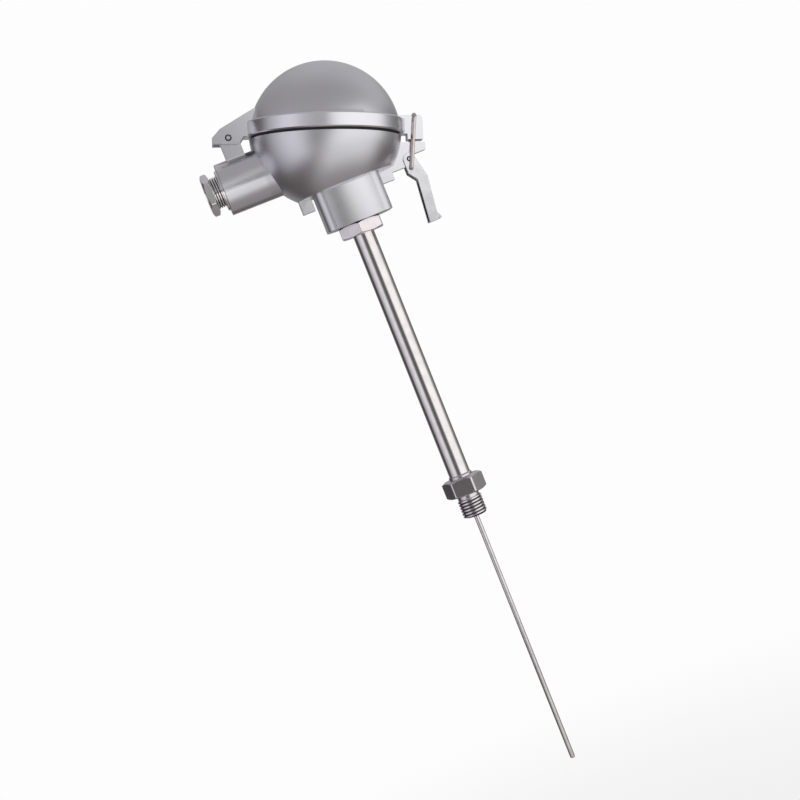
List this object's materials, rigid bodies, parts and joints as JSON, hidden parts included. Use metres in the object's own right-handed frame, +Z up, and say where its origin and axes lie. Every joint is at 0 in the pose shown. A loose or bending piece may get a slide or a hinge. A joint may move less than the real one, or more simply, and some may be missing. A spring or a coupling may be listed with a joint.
{
  "type": "rtd probe with head",
  "caption": "Threaded resistance temperature probe with a thin sheath, an extension tube and a domed connection head with a latched lid and a side cable gland.",
  "frame": {"origin": "on the probe's axis at the shoulder of the process thread, where the thread meets the hexagon", "axes": "+Z up the extension tube to the head, +X to the latch, -Y to the flat front of the neck; the cable gland points along -X"},
  "size_m": [0.1474, 0.1, 0.476],
  "materials": {
    "cast_alloy": "satin, machined where it was turned",
    "polished_steel": "polished tube",
    "turned_steel": "turned and milled, a little darker",
    "sheath_steel": "drawn sheath",
    "nickel": "nickel plated, satin",
    "pin_steel": "bright pins and screws",
    "latch_sheet": "zinc plated sheet",
    "wire_steel": "bright drawn wire",
    "spring_steel": "spring wire",
    "gasket_rubber": "matt black",
    "ceramic": "unglazed ceramic",
    "powder": "pressed mineral powder",
    "element_film": "ceramic sensing element",
    "brass": "bright turned brass",
    "lead_red": "braided sleeve, red",
    "lead_white": "braided sleeve, white"
  },
  "bodies": {
    "probe": {"head_body": "cast_alloy", "lid_gasket": "gasket_rubber", "hinge_pin": "pin_steel", "packing_screw": "nickel", "lock_ring": "nickel", "thrust_washer": "pin_steel", "cable_seal": "gasket_rubber", "head_nipple": "turned_steel", "extension_tube": "polished_steel", "process_fitting": "turned_steel", "probe_sheath": "sheath_steel", "mineral_filling": "powder", "sensing_element": "element_film", "transition_sleeve": "pin_steel", "insert_disc": "pin_steel", "insert_screws": "pin_steel", "insert_springs": "spring_steel", "terminal_block": "ceramic", "terminal_1": "brass", "terminal_2": "brass", "terminal_3": "brass", "terminal_4": "brass", "terminal_screws": "pin_steel", "lead_wire_1": "lead_red", "lead_wire_2": "lead_red", "lead_wire_3": "lead_white"},
    "lid": {"lid": "cast_alloy"},
    "lever": {"latch_lever": "latch_sheet", "latch_pin": "pin_steel"},
    "bail": {"wire_bail": "wire_steel"}
  },
  "joints": [
    {"name": "lid_hinge", "type": "hinge", "parent": "probe", "child": "lid", "pos_m": [-0.05732, 0, 0.26386], "axis": [0, -1, 0], "range_deg": [0, 100]},
    {"name": "latch_lever", "type": "hinge", "parent": "probe", "child": "lever", "pos_m": [0.044, 0, 0.211], "axis": [0, -1, 0], "range_deg": [0, 75]},
    {"name": "bail_swing", "type": "hinge", "parent": "lever", "child": "bail", "pos_m": [0.043, 0, 0.2051], "axis": [0, -1, 0], "range_deg": [-75, 0]}
  ],
  "couplings": [
    {"joint": "bail_swing", "follows": "latch_lever", "ratio": -1}
  ]
}
